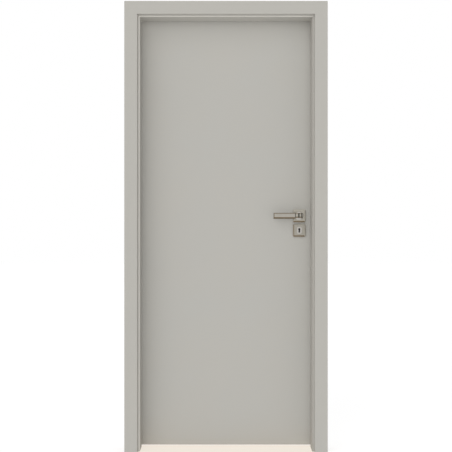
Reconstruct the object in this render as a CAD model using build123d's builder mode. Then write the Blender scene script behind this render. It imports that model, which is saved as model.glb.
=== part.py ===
from build123d import *
import os

# Interior door: a rebated flush leaf hung in an adjustable frame that wraps a partition wall.
# Millimetres. +X runs from the hinge side to the lock side, +Y from the push side to the pull
# side, +Z up from the finished floor. The origin lies on the hinge jamb's face against the wall,
# at the foot, half way along the depth of the rebated jamb.

# Doorway
clear_width = 806.0
clear_height = 2030.0
wall_thickness = 100.0

# Rebated jamb, the load-bearing part of the frame
jamb_thickness = 38.0
jamb_depth = 44.0
stop_width = 12.0
nose_width = 12.0
arris_round = 1.5

# Lining panel that carries the frame through the wall
lining_thickness = 25.0
lining_tongue_thickness = 6.0
lining_tongue_length = 8.0
lining_tongue_inset = 8.0
lining_arris_round = 1.0
joint_clearance = 0.1

# Casings on both wall faces
casing_width = 60.0
casing_thickness = 20.0
casing_setback = 10.0
casing_inner_round = 1.5
casing_outer_round = 2.5
casing_tongue_thickness = 4.0
casing_tongue_length = 26.0
casing_tongue_inset = 3.0

# Stop seal
seal_width = 6.0
seal_height = 4.0
seal_inset = 4.5
seal_tongue_thickness = 3.0
seal_tongue_length = 5.0

# Leaf
leaf_gap = 5.0
floor_gap = 8.0
leaf_thickness = 40.0
lip_thickness = 15.0
lip_width = 12.0
skin_thickness = 3.2
skin_edge_bevel = 0.8
stile_width = 35.0
rail_height = 40.0

# Screw-in barrel hinges
knuckle_diameter = 14.0
knuckle_height = 36.0
knuckle_lip_gap = 3.0
knuckle_joint_gap = 0.4
knuckle_cap_bevel = 1.2
hinge_pin_diameter = 8.0
hinge_pin_length = 28.0
hinge_pin_clearance = 0.05
hinge_pin_end_gap = 2.0
frame_stud_diameter = 8.0
frame_stud_length = 60.0
leaf_stud_diameter = 7.0
leaf_stud_length = 48.0
leaf_stud_spacing = 18.0
stud_clearance = 0.1
hinge_inset = 230.0

# Mortise lock
backset = 60.0
handle_height = 1102.0
key_spacing = 69.0
faceplate_height = 235.0
faceplate_width = 18.0
faceplate_thickness = 3.0
lock_case_beyond = 25.0
lock_case_thickness = 15.0
lock_case_above = 48.0
lock_case_below = 45.0
latch_height = 24.0
latch_thickness = 9.0
latch_length = 30.0
latch_bevel = 7.0
latch_tip = 2.0
latch_rise = 10.0
bolt_height = 32.0
bolt_thickness = 9.0
bolt_length = 34.0
bolt_rise = 8.0
lock_clearance = 0.3
lock_block_margin = 24.0
lock_block_height = 280.0
spindle_bore = 14.0

# Strike plate
strike_thickness = 1.5
strike_height = 176.0
strike_wrap = 10.0
strike_depth = 22.0
strike_pocket_depth = 8.0
strike_hole_clearance = 0.5
strike_fit = 0.1

# Lever handles, rosettes and key escutcheons
plate_size = 60.0
plate_thickness = 9.0
plate_corner_round = 5.0
plate_edge_bevel = 1.6
collar_diameter = 40.0
collar_height = 2.5
collar_edge = 0.8
neck_diameter = 20.0
neck_clearance = 0.3
neck_width = 22.0
neck_foot_gap = 5.5
neck_insert = 9.0
lever_reach = 125.0
lever_height = 27.5
lever_thickness = 10.0
lever_standoff = 55.0
lever_outer_bend = 6.0
lever_inner_bend = 9.0
lever_tip_round = 3.0
lever_edge_bevel = 1.2
root_groove_depth = 2.5
narrow_groove_width = 3.5
wide_groove_width = 7.0
root_band_width = 11.0
root_rib_width = 6.5
root_end_width = 3.5
spindle_size = 8.0
spindle_engagement = 26.0
spindle_clearance = 0.05
keyhole_round = 10.0
keyhole_slot = 7.0
keyhole_height = 21.0
key_passage_width = 14.0
key_passage_height = 30.0

# Places that follow from the sizes above
clear_left = jamb_thickness
clear_right = clear_left + clear_width
mid_x = (clear_left + clear_right) / 2
wall_back = jamb_depth / 2
wall_front = wall_back - wall_thickness
jamb_front = wall_back - jamb_depth
nose_top = wall_back + casing_thickness
lip_inner = nose_top + leaf_gap
leaf_back = lip_inner + lip_thickness
leaf_front = leaf_back - leaf_thickness
leaf_mid = (leaf_front + leaf_back) / 2
core_front = leaf_front + skin_thickness
core_back = leaf_back - skin_thickness
stop_face = leaf_front - leaf_gap
leaf_cover = stop_width - leaf_gap
main_left = clear_left - leaf_cover
main_right = clear_right + leaf_cover
main_top = clear_height + leaf_cover
lip_left = main_left - lip_width
lip_right = main_right + lip_width
lip_top = main_top + lip_width
stile_left = main_left + stile_width
stile_right = main_right - stile_width
casing_reach = casing_setback + casing_width
nose_outer = stop_width + nose_width

hinge_x = lip_left - knuckle_lip_gap - knuckle_diameter / 2
hinge_y = leaf_back - lip_thickness / 2
hinge_low = floor_gap + hinge_inset
hinge_high = lip_top - hinge_inset
hinge_heights = {"lower": hinge_low, "middle": (hinge_low + hinge_high) / 2, "upper": hinge_high}

handle_x = main_right - backset
key_height = handle_height - key_spacing
lock_y = (leaf_front + lip_inner) / 2
lock_case_front = main_right - faceplate_thickness
lock_case_back = handle_x - lock_case_beyond
lock_case_low = key_height - lock_case_below
lock_case_high = handle_height + lock_case_above
lock_mid = (lock_case_low + lock_case_high) / 2
latch_z = handle_height + latch_rise
bolt_z = key_height + bolt_rise
rebate_wall = clear_right + stop_width
plate_front = leaf_front - plate_thickness
collar_front = plate_front - collar_height
neck_foot = collar_front - neck_foot_gap
lever_front = leaf_front - lever_standoff
lever_back = lever_front + lever_thickness

# Frame sections are drawn with u out from the clear opening and v along +Y, then run up the lock
# jamb or across the head and cut at the mitre. The hinge jamb mirrors the lock jamb.
door_middle = Plane.YZ.offset(mid_x)
lock_section = Plane(origin=(clear_right, 0, 0), x_dir=(1, 0, 0), z_dir=(0, 0, 1))
lock_mitre = Plane(origin=(clear_right, 0, clear_height), x_dir=(0, 1, 0), z_dir=(-1, 0, 1))
hinge_mitre = Plane(origin=(clear_left, 0, clear_height), x_dir=(0, 1, 0), z_dir=(1, 0, 1))


def upright(y):
    """Plane across the doorway at depth y, facing the push side, with local axes +X and +Z."""
    return Plane(origin=(0, y, 0), x_dir=(1, 0, 0), z_dir=(0, -1, 0))


def sideways(x):
    """Plane along the wall's depth at x, facing the lock side, with local axes +Y and +Z."""
    return Plane(origin=(x, 0, 0), x_dir=(0, 1, 0), z_dir=(1, 0, 0))


def near(vertices, u, v):
    """The vertex of a section that lies nearest to (u, v)."""
    return vertices.sort_by_distance((u, v))[0]


def save(piece, name):
    """Label a finished piece and write its file."""
    piece.part.label = name
    export_step(piece.part, f"parts/{name}.step")


def jamb_section():
    """Rebated jamb: stop, rebate wall and nose, with a seal groove and a groove for the lining."""
    groove_low = lining_tongue_inset - joint_clearance
    groove_high = lining_tongue_inset + lining_tongue_thickness + joint_clearance
    groove_end = jamb_front + lining_tongue_length + joint_clearance
    seal_low = seal_inset - seal_tongue_thickness / 2 - joint_clearance
    seal_high = seal_inset + seal_tongue_thickness / 2 + joint_clearance
    seal_end = stop_face - seal_tongue_length - joint_clearance
    with BuildSketch() as section:
        with BuildLine():
            Polyline(
                (0, jamb_front), (0, stop_face),
                (seal_low, stop_face), (seal_low, seal_end), (seal_high, seal_end), (seal_high, stop_face),
                (stop_width, stop_face), (stop_width, nose_top), (nose_outer, nose_top),
                (nose_outer, wall_back), (jamb_thickness, wall_back), (jamb_thickness, jamb_front),
                (groove_high, jamb_front), (groove_high, groove_end),
                (groove_low, groove_end), (groove_low, jamb_front),
                close=True,
            )
        make_face()
        corners = section.vertices()
        fillet([near(corners, 0, stop_face), near(corners, stop_width, nose_top)], arris_round)
    return section.sketch


def lining_section():
    """Lining panel: flat front edge with a groove for the casing, and a tongue behind."""
    groove_low = casing_setback + casing_tongue_inset - joint_clearance
    groove_high = groove_low + casing_tongue_thickness + 2 * joint_clearance
    groove_end = wall_front + casing_tongue_length + joint_clearance
    tongue_far = lining_tongue_inset + lining_tongue_thickness
    with BuildSketch() as section:
        with BuildLine():
            Polyline(
                (0, jamb_front), (0, wall_front), (groove_low, wall_front), (groove_low, groove_end),
                (groove_high, groove_end), (groove_high, wall_front), (lining_thickness, wall_front),
                (lining_thickness, jamb_front), (tongue_far, jamb_front),
                (tongue_far, jamb_front + lining_tongue_length),
                (lining_tongue_inset, jamb_front + lining_tongue_length),
                (lining_tongue_inset, jamb_front),
                close=True,
            )
        make_face()
        fillet(near(section.vertices(), 0, wall_front), lining_arris_round)
    return section.sketch


def front_casing_section():
    """Push-side casing: rounded board with a tongue that slides in the lining's groove."""
    tongue_low = casing_setback + casing_tongue_inset
    tongue_high = tongue_low + casing_tongue_thickness
    tongue_end = wall_front + casing_tongue_length
    face_front = wall_front - casing_thickness
    with BuildSketch() as section:
        with BuildLine():
            Polyline(
                (casing_setback, wall_front), (tongue_low, wall_front), (tongue_low, tongue_end),
                (tongue_high, tongue_end), (tongue_high, wall_front), (casing_reach, wall_front),
                (casing_reach, face_front), (casing_setback, face_front),
                close=True,
            )
        make_face()
        fillet(near(section.vertices(), casing_setback, face_front), casing_inner_round)
        fillet(near(section.vertices(), casing_reach, face_front), casing_outer_round)
    return section.sketch


def back_casing_section():
    """Pull-side casing: board glued to the jamb's nose, its outer edge in line with the front one."""
    with BuildSketch() as section:
        with BuildLine():
            Polyline(
                (nose_outer, wall_back), (casing_reach, wall_back),
                (casing_reach, nose_top), (nose_outer, nose_top),
                close=True,
            )
        make_face()
        fillet(near(section.vertices(), casing_reach, nose_top), casing_outer_round)
    return section.sketch


def seal_section():
    """Rubber seal: tongue pressed into the stop and a low bulb that meets the leaf."""
    low = seal_inset - seal_tongue_thickness / 2
    high = seal_inset + seal_tongue_thickness / 2
    root = stop_face - seal_tongue_length
    bulb_low = (seal_inset - seal_width / 2, stop_face)
    bulb_high = (seal_inset + seal_width / 2, stop_face)
    with BuildSketch() as section:
        with BuildLine():
            Polyline(bulb_low, (low, stop_face), (low, root), (high, root), (high, stop_face), bulb_high)
            ThreePointArc(bulb_high, (seal_inset, stop_face + seal_height), bulb_low)
        make_face()
    return section.sketch


def jamb_run(section, reach):
    """Run a section up the lock side and cut its head end at the mitre."""
    with BuildPart() as run:
        with BuildSketch(lock_section):
            add(section)
        extrude(amount=clear_height + reach)
        split(bisect_by=lock_mitre, keep=Keep.BOTTOM)
    return run.part


def head_run(section, reach):
    """Run a section across the head and cut both ends at the mitres."""
    start = Plane(origin=(clear_right + reach, 0, clear_height), x_dir=(0, 0, 1), z_dir=(-1, 0, 0))
    with BuildPart() as run:
        with BuildSketch(start):
            add(section)
        extrude(amount=clear_width + 2 * reach)
        split(bisect_by=lock_mitre, keep=Keep.TOP)
        split(bisect_by=hinge_mitre, keep=Keep.TOP)
    return run.part


def frame_set(name, section, reach):
    """Write the three mitred pieces of one frame section."""
    side = jamb_run(section, reach)
    with BuildPart() as lock_piece:
        add(side)
    with BuildPart() as hinge_piece:
        mirror(side, about=door_middle)
    with BuildPart() as head_piece:
        add(head_run(section, reach))
    save(lock_piece, f"lock_{name}")
    save(hinge_piece, f"hinge_{name}")
    save(head_piece, f"head_{name}")


def stud_outline(diameter):
    """Section of a hinge stud or its bore: eight flats stand for the thread."""
    RegularPolygon(diameter / 2, 8, major_radius=False, rotation=22.5)


def stud_bores(depth_from):
    """Bores for the frame halves' studs, from depth_from down to the studs' ends."""
    length = depth_from - (hinge_y - frame_stud_length) + stud_clearance
    with BuildSketch(upright(depth_from)) as bores:
        with Locations(*[(hinge_x, frame_stud_z(z)) for z in hinge_heights.values()]):
            stud_outline(frame_stud_diameter + 2 * stud_clearance)
    extrude(bores.sketch, amount=length, mode=Mode.SUBTRACT)


def frame_stud_z(joint_z):
    """Height of a frame half's stud, half way up the knuckle below the joint."""
    return joint_z - knuckle_joint_gap / 2 - knuckle_height / 2


def leaf_stud_z(joint_z):
    """Heights of a leaf half's two studs, about the middle of the knuckle above the joint."""
    middle = joint_z + knuckle_joint_gap / 2 + knuckle_height / 2
    return [middle - leaf_stud_spacing / 2, middle + leaf_stud_spacing / 2]


def keyhole():
    """Keyhole outline about the key's height: a round top over a narrower slot."""
    round_z = key_height + (keyhole_height - keyhole_round) / 2
    slot_length = round_z - (key_height - keyhole_height / 2)
    with Locations((handle_x, round_z)):
        Circle(keyhole_round / 2)
        Rectangle(keyhole_slot, slot_length, align=(Align.CENTER, Align.MAX))


def lock_passages():
    """Ways through the leaf for the spindle and the key."""
    with Locations((handle_x, handle_height)):
        Circle(spindle_bore / 2)
    with Locations((handle_x, key_height)):
        Rectangle(key_passage_width, key_passage_height)


def lock_mortise():
    """Mortise for the lock case, with its clearance all round."""
    width = lock_case_thickness + 2 * lock_clearance
    height = lock_case_high - lock_case_low + 2 * lock_clearance
    depth = lock_case_front - lock_case_back + lock_clearance
    with BuildSketch(sideways(lock_case_back - lock_clearance)) as mouth:
        with Locations((lock_y, lock_mid)):
            Rectangle(width, height)
    extrude(mouth.sketch, amount=depth, mode=Mode.SUBTRACT)


def faceplate_outline(extra=0.0):
    """Faceplate with round ends, grown by extra all round."""
    with Locations((lock_y, lock_mid)):
        SlotOverall(faceplate_height + 2 * extra, faceplate_width + 2 * extra, rotation=90)


def bolt_windows(extra):
    """Windows for the latch and the dead bolt, larger than the bolts by extra all round."""
    with Locations((lock_y, latch_z)):
        Rectangle(latch_thickness + 2 * extra, latch_height + 2 * extra)
    with Locations((lock_y, bolt_z)):
        Rectangle(bolt_thickness + 2 * extra, bolt_height + 2 * extra)


def strike_section(extra=0.0):
    """Angle of the strike plate, in the section of the lock jamb, grown into the wood by extra."""
    inner = strike_thickness + extra
    with BuildSketch() as section:
        with BuildLine():
            Polyline(
                (stop_width, nose_top - strike_depth - extra), (stop_width, nose_top),
                (stop_width + strike_wrap + extra, nose_top),
                (stop_width + strike_wrap + extra, nose_top - inner),
                (stop_width + inner, nose_top - inner),
                (stop_width + inner, nose_top - strike_depth - extra),
                close=True,
            )
        make_face()
    return section.sketch


os.makedirs("parts", exist_ok=True)

# Frame: linings, casings and seals
frame_set("lining", lining_section(), lining_thickness)
frame_set("front_casing", front_casing_section(), casing_reach)
frame_set("seal", seal_section(), stop_width)
with BuildPart() as head_back_casing:
    add(head_run(back_casing_section(), casing_reach))
save(head_back_casing, "head_back_casing")
with BuildPart() as lock_back_casing:
    add(jamb_run(back_casing_section(), casing_reach))
save(lock_back_casing, "lock_back_casing")
with BuildPart() as hinge_back_casing:
    mirror(jamb_run(back_casing_section(), casing_reach), about=door_middle)
    stud_bores(nose_top)
save(hinge_back_casing, "hinge_back_casing")

# Frame: rebated jambs
with BuildPart() as head_jamb:
    add(head_run(jamb_section(), jamb_thickness))
save(head_jamb, "head_jamb")
with BuildPart() as hinge_jamb:
    mirror(jamb_run(jamb_section(), jamb_thickness), about=door_middle)
    stud_bores(wall_back)
save(hinge_jamb, "hinge_jamb")
with BuildPart() as lock_jamb:
    add(jamb_run(jamb_section(), jamb_thickness))
    with BuildSketch(lock_section.offset(lock_mid - strike_height / 2 - strike_fit)):
        add(strike_section(strike_fit))
    extrude(amount=strike_height + 2 * strike_fit, mode=Mode.SUBTRACT)
    with BuildSketch(sideways(rebate_wall)):
        bolt_windows(strike_hole_clearance)
    extrude(amount=strike_thickness + strike_pocket_depth, mode=Mode.SUBTRACT)
save(lock_jamb, "lock_jamb")
with BuildPart() as strike_plate:
    with BuildSketch(lock_section.offset(lock_mid - strike_height / 2)):
        add(strike_section())
    extrude(amount=strike_height)
    with BuildSketch(sideways(rebate_wall)):
        bolt_windows(strike_hole_clearance)
    extrude(amount=strike_thickness, mode=Mode.SUBTRACT)
    bend = strike_plate.edges().filter_by(Axis.Z).sort_by_distance((rebate_wall, nose_top, lock_mid))[0]
    fillet(bend, arris_round)
save(strike_plate, "strike_plate")

# Hinges: the frame half carries the pin, the leaf half drops over it
for place, joint_z in hinge_heights.items():
    frame_top = joint_z - knuckle_joint_gap / 2
    leaf_foot = joint_z + knuckle_joint_gap / 2
    with BuildPart() as frame_half:
        with BuildSketch(Plane.XY.offset(frame_top)):
            with Locations((hinge_x, hinge_y)):
                Circle(knuckle_diameter / 2)
        extrude(amount=-knuckle_height)
        chamfer(frame_half.edges().group_by(Axis.Z)[0], knuckle_cap_bevel)
        with BuildSketch(Plane.XY.offset(frame_top)):
            with Locations((hinge_x, hinge_y)):
                Circle(hinge_pin_diameter / 2)
        extrude(amount=hinge_pin_length)
        with BuildSketch(upright(hinge_y)):
            with Locations((hinge_x, frame_stud_z(joint_z))):
                stud_outline(frame_stud_diameter)
        extrude(amount=frame_stud_length)
    save(frame_half, f"{place}_hinge_frame_half")
    with BuildPart() as leaf_half:
        with BuildSketch(Plane.XY.offset(leaf_foot)):
            with Locations((hinge_x, hinge_y)):
                Circle(knuckle_diameter / 2)
        extrude(amount=knuckle_height)
        chamfer(leaf_half.edges().group_by(Axis.Z)[-1], knuckle_cap_bevel)
        with BuildSketch(sideways(hinge_x)):
            with Locations(*[(hinge_y, z) for z in leaf_stud_z(joint_z)]):
                stud_outline(leaf_stud_diameter)
        extrude(amount=leaf_stud_length)
        with BuildSketch(Plane.XY.offset(leaf_foot)):
            with Locations((hinge_x, hinge_y)):
                Circle(hinge_pin_diameter / 2 + hinge_pin_clearance)
        extrude(amount=hinge_pin_length + hinge_pin_end_gap, mode=Mode.SUBTRACT)
    save(leaf_half, f"{place}_hinge_leaf_half")

# Leaf: rebated stiles and rails around a board core
with BuildPart() as lock_stile:
    with BuildSketch(Plane.XY.offset(floor_gap)):
        with BuildLine():
            Polyline(
                (stile_right, core_front), (main_right, core_front), (main_right, lip_inner),
                (lip_right, lip_inner), (lip_right, core_back), (stile_right, core_back),
                close=True,
            )
        make_face()
    extrude(amount=lip_top - floor_gap)
    with BuildSketch(sideways(stile_right)):
        with Locations((core_front, main_top)):
            Rectangle(lip_inner - core_front, lip_width, align=Align.MIN)
    extrude(amount=stile_width, mode=Mode.SUBTRACT)
    lock_mortise()
    with BuildSketch(sideways(lock_case_front)):
        faceplate_outline(lock_clearance)
    extrude(amount=faceplate_thickness, mode=Mode.SUBTRACT)
save(lock_stile, "lock_stile")
with BuildPart() as hinge_stile:
    with BuildSketch(Plane.XY.offset(floor_gap)):
        with BuildLine():
            Polyline(
                (stile_left, core_front), (main_left, core_front), (main_left, lip_inner),
                (lip_left, lip_inner), (lip_left, core_back), (stile_left, core_back),
                close=True,
            )
        make_face()
    extrude(amount=lip_top - floor_gap)
    with BuildSketch(sideways(main_left)):
        with Locations((core_front, main_top)):
            Rectangle(lip_inner - core_front, lip_width, align=Align.MIN)
    extrude(amount=stile_width, mode=Mode.SUBTRACT)
    with BuildSketch(sideways(lip_left)):
        for joint_z in hinge_heights.values():
            with Locations(*[(hinge_y, z) for z in leaf_stud_z(joint_z)]):
                stud_outline(leaf_stud_diameter + 2 * stud_clearance)
    extrude(amount=hinge_x + leaf_stud_length - lip_left + stud_clearance, mode=Mode.SUBTRACT)
save(hinge_stile, "hinge_stile")
with BuildPart() as top_rail:
    with BuildSketch(sideways(stile_left)):
        with BuildLine():
            Polyline(
                (core_front, main_top - rail_height), (core_front, main_top), (lip_inner, main_top),
                (lip_inner, lip_top), (core_back, lip_top), (core_back, main_top - rail_height),
                close=True,
            )
        make_face()
    extrude(amount=stile_right - stile_left)
save(top_rail, "top_rail")
with BuildPart() as bottom_rail:
    with BuildSketch(sideways(stile_left)):
        with Locations((core_front, floor_gap)):
            Rectangle(core_back - core_front, rail_height, align=Align.MIN)
    extrude(amount=stile_right - stile_left)
save(bottom_rail, "bottom_rail")
block_left = lock_case_back - lock_block_margin
with BuildPart() as lock_block:
    with BuildSketch(sideways(block_left)):
        with Locations((core_front, lock_mid)):
            Rectangle(core_back - core_front, lock_block_height, align=(Align.MIN, Align.CENTER))
    extrude(amount=stile_right - block_left)
    lock_mortise()
    with BuildSketch(upright(core_back)):
        lock_passages()
    extrude(amount=core_back - core_front, mode=Mode.SUBTRACT)
save(lock_block, "lock_block")
with BuildPart() as leaf_core:
    core_foot = floor_gap + rail_height
    core_head = main_top - rail_height
    core_width = stile_right - stile_left
    with BuildSketch(Plane.XY.offset(core_foot)):
        with Locations((mid_x, leaf_mid)):
            Rectangle(core_width, core_back - core_front)
    extrude(amount=core_head - core_foot)
    with BuildSketch(sideways(block_left)):
        with Locations((core_front, lock_mid)):
            Rectangle(core_back - core_front, lock_block_height, align=(Align.MIN, Align.CENTER))
    extrude(amount=stile_right - block_left, mode=Mode.SUBTRACT)
save(leaf_core, "leaf_core")

# Leaf: skins
with BuildPart() as front_skin:
    with BuildSketch(upright(core_front)):
        with Locations((main_left, floor_gap)):
            Rectangle(main_right - main_left, main_top - floor_gap, align=Align.MIN)
        with BuildSketch(upright(core_front), mode=Mode.SUBTRACT):
            lock_passages()
    extrude(amount=skin_thickness)
    outline = front_skin.faces().sort_by(Axis.Y)[0].outer_wire().edges()
    chamfer(outline, skin_edge_bevel)
save(front_skin, "front_skin")
with BuildPart() as back_skin:
    with BuildSketch(upright(leaf_back)):
        with Locations((lip_left, floor_gap)):
            Rectangle(lip_right - lip_left, lip_top - floor_gap, align=Align.MIN)
        with BuildSketch(upright(leaf_back), mode=Mode.SUBTRACT):
            lock_passages()
    extrude(amount=skin_thickness)
    outline = back_skin.faces().sort_by(Axis.Y)[-1].outer_wire().edges()
    chamfer(outline, skin_edge_bevel)
save(back_skin, "back_skin")

# Mortise lock, with latch and dead bolt drawn back flush with the faceplate
with BuildPart() as lock_case:
    with BuildSketch(sideways(lock_case_back)):
        with Locations((lock_y, lock_mid)):
            Rectangle(lock_case_thickness, lock_case_high - lock_case_low)
    extrude(amount=lock_case_front - lock_case_back)
    with BuildSketch(sideways(lock_case_front)):
        bolt_windows(lock_clearance)
    extrude(amount=-max(latch_length, bolt_length), mode=Mode.SUBTRACT)
    with BuildSketch(upright(lock_y + lock_case_thickness / 2)):
        with Locations((handle_x, handle_height)):
            Circle(spindle_bore / 2)
        keyhole()
    extrude(amount=lock_case_thickness, mode=Mode.SUBTRACT)
save(lock_case, "lock_case")
with BuildPart() as lock_faceplate:
    with BuildSketch(sideways(lock_case_front)):
        faceplate_outline()
        with BuildSketch(sideways(lock_case_front), mode=Mode.SUBTRACT):
            bolt_windows(lock_clearance)
    extrude(amount=faceplate_thickness)
save(lock_faceplate, "lock_faceplate")
with BuildPart() as latch_bolt:
    latch_push = lock_y - latch_thickness / 2
    latch_pull = lock_y + latch_thickness / 2
    with BuildSketch(Plane.XY.offset(latch_z - latch_height / 2)):
        with BuildLine():
            Polyline(
                (main_right - latch_length, latch_push), (main_right - latch_bevel, latch_push),
                (main_right, latch_pull - latch_tip), (main_right, latch_pull),
                (main_right - latch_length, latch_pull),
                close=True,
            )
        make_face()
    extrude(amount=latch_height)
save(latch_bolt, "latch_bolt")
with BuildPart() as dead_bolt:
    with BuildSketch(sideways(main_right)):
        with Locations((lock_y, bolt_z)):
            Rectangle(bolt_thickness, bolt_height)
    extrude(amount=-bolt_length)
save(dead_bolt, "dead_bolt")

# Rosettes, key escutcheons and levers: the pull side mirrors the push side about the leaf's middle
leaf_centre = Plane.XZ.offset(-leaf_mid)
with BuildPart() as front_rosette:
    with BuildSketch(upright(leaf_front)):
        with Locations((handle_x, handle_height)):
            RectangleRounded(plate_size, plate_size, plate_corner_round)
    extrude(amount=plate_thickness)
    chamfer(front_rosette.faces().sort_by(Axis.Y)[0].edges(), plate_edge_bevel)
    with BuildSketch(upright(plate_front)):
        with Locations((handle_x, handle_height)):
            Circle(collar_diameter / 2)
    extrude(amount=collar_height)
    chamfer(front_rosette.faces().sort_by(Axis.Y)[0].edges(), collar_edge)
    with BuildSketch(upright(leaf_front)):
        with Locations((handle_x, handle_height)):
            Circle(neck_diameter / 2 + neck_clearance)
    extrude(amount=plate_thickness + collar_height, mode=Mode.SUBTRACT)
save(front_rosette, "front_rosette")
with BuildPart() as back_rosette:
    mirror(front_rosette.part, about=leaf_centre)
save(back_rosette, "back_rosette")
with BuildPart() as front_escutcheon:
    with BuildSketch(upright(leaf_front)):
        with Locations((handle_x, key_height)):
            RectangleRounded(plate_size, plate_size, plate_corner_round)
    extrude(amount=plate_thickness)
    chamfer(front_escutcheon.faces().sort_by(Axis.Y)[0].edges(), plate_edge_bevel)
    with BuildSketch(upright(leaf_front)):
        keyhole()
    extrude(amount=plate_thickness, mode=Mode.SUBTRACT)
save(front_escutcheon, "front_escutcheon")
with BuildPart() as back_escutcheon:
    mirror(front_escutcheon.part, about=leaf_centre)
save(back_escutcheon, "back_escutcheon")
with BuildPart() as front_lever:
    lever_tip = handle_x - lever_reach
    neck_right = handle_x + neck_width / 2
    neck_left = handle_x - neck_width / 2
    with BuildSketch(Plane.XY.offset(handle_height - lever_height / 2)) as plan:
        with BuildLine():
            Polyline(
                (lever_tip, lever_front), (neck_right, lever_front), (neck_right, neck_foot),
                (neck_left, neck_foot), (neck_left, lever_back), (lever_tip, lever_back),
                close=True,
            )
        make_face()
        fillet(near(plan.vertices(), neck_right, lever_front), lever_outer_bend)
        fillet(near(plan.vertices(), neck_left, lever_back), lever_inner_bend)
        fillet(plan.vertices().group_by(Axis.X)[0], lever_tip_round)
    extrude(amount=lever_height)
    faces = front_lever.faces().sort_by(Axis.Z)
    chamfer(faces[0].edges() + faces[-1].edges(), lever_edge_bevel)
    end_groove = neck_right - root_end_width - narrow_groove_width
    middle_groove = end_groove - root_rib_width - wide_groove_width
    grip_groove = middle_groove - root_band_width - narrow_groove_width
    with BuildSketch(upright(lever_front + root_groove_depth)):
        with Locations((end_groove, handle_height), (grip_groove, handle_height)):
            Rectangle(narrow_groove_width, lever_height, align=(Align.MIN, Align.CENTER))
        with Locations((middle_groove, handle_height)):
            Rectangle(wide_groove_width, lever_height, align=(Align.MIN, Align.CENTER))
    extrude(amount=root_groove_depth, mode=Mode.SUBTRACT)
    with BuildSketch(upright(collar_front + neck_insert)):
        with Locations((handle_x, handle_height)):
            Circle(neck_diameter / 2)
    extrude(amount=neck_insert + neck_foot_gap)
    with BuildSketch(upright(collar_front + neck_insert)):
        with Locations((handle_x, handle_height)):
            Rectangle(spindle_size + 2 * spindle_clearance, spindle_size + 2 * spindle_clearance)
    extrude(amount=spindle_engagement + spindle_clearance, mode=Mode.SUBTRACT)
save(front_lever, "front_lever")
with BuildPart() as back_lever:
    mirror(front_lever.part, about=leaf_centre)
save(back_lever, "back_lever")
with BuildPart() as spindle:
    spindle_front = collar_front + neck_insert - spindle_engagement
    with BuildSketch(upright(2 * leaf_mid - spindle_front)):
        with Locations((handle_x, handle_height)):
            Rectangle(spindle_size, spindle_size)
    extrude(amount=2 * (leaf_mid - spindle_front))
save(spindle, "spindle")
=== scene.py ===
"""Looks of the interior door: finishes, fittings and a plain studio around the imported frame."""

import logging
import math
from dataclasses import dataclass
from enum import Enum
from typing import Any, Callable

import bmesh
import bpy
from bmesh.types import BMEdge, BMesh, BMFace, BMVert
from bpy.types import Material, Node, NodeSocket, NodeTree
from mathutils import Matrix, Vector


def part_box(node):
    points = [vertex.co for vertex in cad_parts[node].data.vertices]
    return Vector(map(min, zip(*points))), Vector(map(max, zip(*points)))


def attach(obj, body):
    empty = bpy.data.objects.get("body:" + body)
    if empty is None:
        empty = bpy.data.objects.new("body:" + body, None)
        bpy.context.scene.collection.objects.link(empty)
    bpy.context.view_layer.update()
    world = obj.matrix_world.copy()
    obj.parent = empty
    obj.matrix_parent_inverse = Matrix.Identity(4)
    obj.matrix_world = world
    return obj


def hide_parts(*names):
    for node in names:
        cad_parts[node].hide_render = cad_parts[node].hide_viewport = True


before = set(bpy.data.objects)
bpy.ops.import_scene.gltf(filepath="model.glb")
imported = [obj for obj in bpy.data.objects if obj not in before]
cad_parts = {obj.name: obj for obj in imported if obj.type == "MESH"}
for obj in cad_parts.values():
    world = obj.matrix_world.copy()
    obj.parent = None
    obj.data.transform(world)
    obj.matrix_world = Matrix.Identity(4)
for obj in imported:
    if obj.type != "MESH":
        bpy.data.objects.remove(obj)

LOG = logging.getLogger("interior_door")
MM = 0.001
# Places that are closer than this count as the same.
TOUCH = 0.01 * MM
# Corners that are closer than this are welded.
WELD = 0.001 * MM
# Edges that turn by more than this are sharp in a piece's shading.
SHARP_TURN = math.radians(32)
# A face looks along an axis if its normal has more than this along it.
FACING = 0.9
# How far behind its plane a face is still picked.
PICK_REACH = 0.5 * MM
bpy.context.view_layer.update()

# Inset and Y of each outline of a plate, from the back to the front.
Levels = list[tuple[float, float]]
# Adds a hole's outline to a plate of a given middle at a given Y, and gives its edges.
HoleMaker = Callable[[BMesh, Vector, float], list[BMEdge]]


class Body(Enum):
    """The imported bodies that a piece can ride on."""

    FRAME = "frame"
    LEAF = "leaf"
    HANDLE = "handle"


class Side(Enum):
    """The door's two faces, with the sign of the way each one looks along Y."""

    PUSH = -1.0
    PULL = 1.0

    @property
    def prefix(self) -> str:
        """The word that starts the names of this side's nodes."""
        return "front" if self is Side.PUSH else "back"


class Direction(Enum):
    """The row frame's axes, each way."""

    LEFT = (-1.0, 0.0, 0.0)
    RIGHT = (1.0, 0.0, 0.0)
    FORWARD = (0.0, -1.0, 0.0)
    BACK = (0.0, 1.0, 0.0)
    UP = (0.0, 0.0, 1.0)
    DOWN = (0.0, 0.0, -1.0)

    @property
    def axis(self) -> int:
        """Which of X, Y and Z the direction lies along."""
        return [abs(part) for part in self.value].index(1.0)

    @property
    def sign(self) -> float:
        """Plus or minus one along that axis."""
        return self.value[self.axis]


def linear(hex_code: str) -> tuple[float, float, float, float]:
    """Turn an sRGB colour into Blender's linear one.

    Args:
        hex_code: Six hexadecimal digits, red first.

    Returns:
        Linear red, green, blue and an alpha of one.
    """
    levels = [int(hex_code[i:i + 2], 16) / 255 for i in (0, 2, 4)]
    red, green, blue = (
        level / 12.92 if level <= 0.04045 else ((level + 0.055) / 1.055) ** 2.4 for level in levels
    )
    return red, green, blue, 1.0


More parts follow.
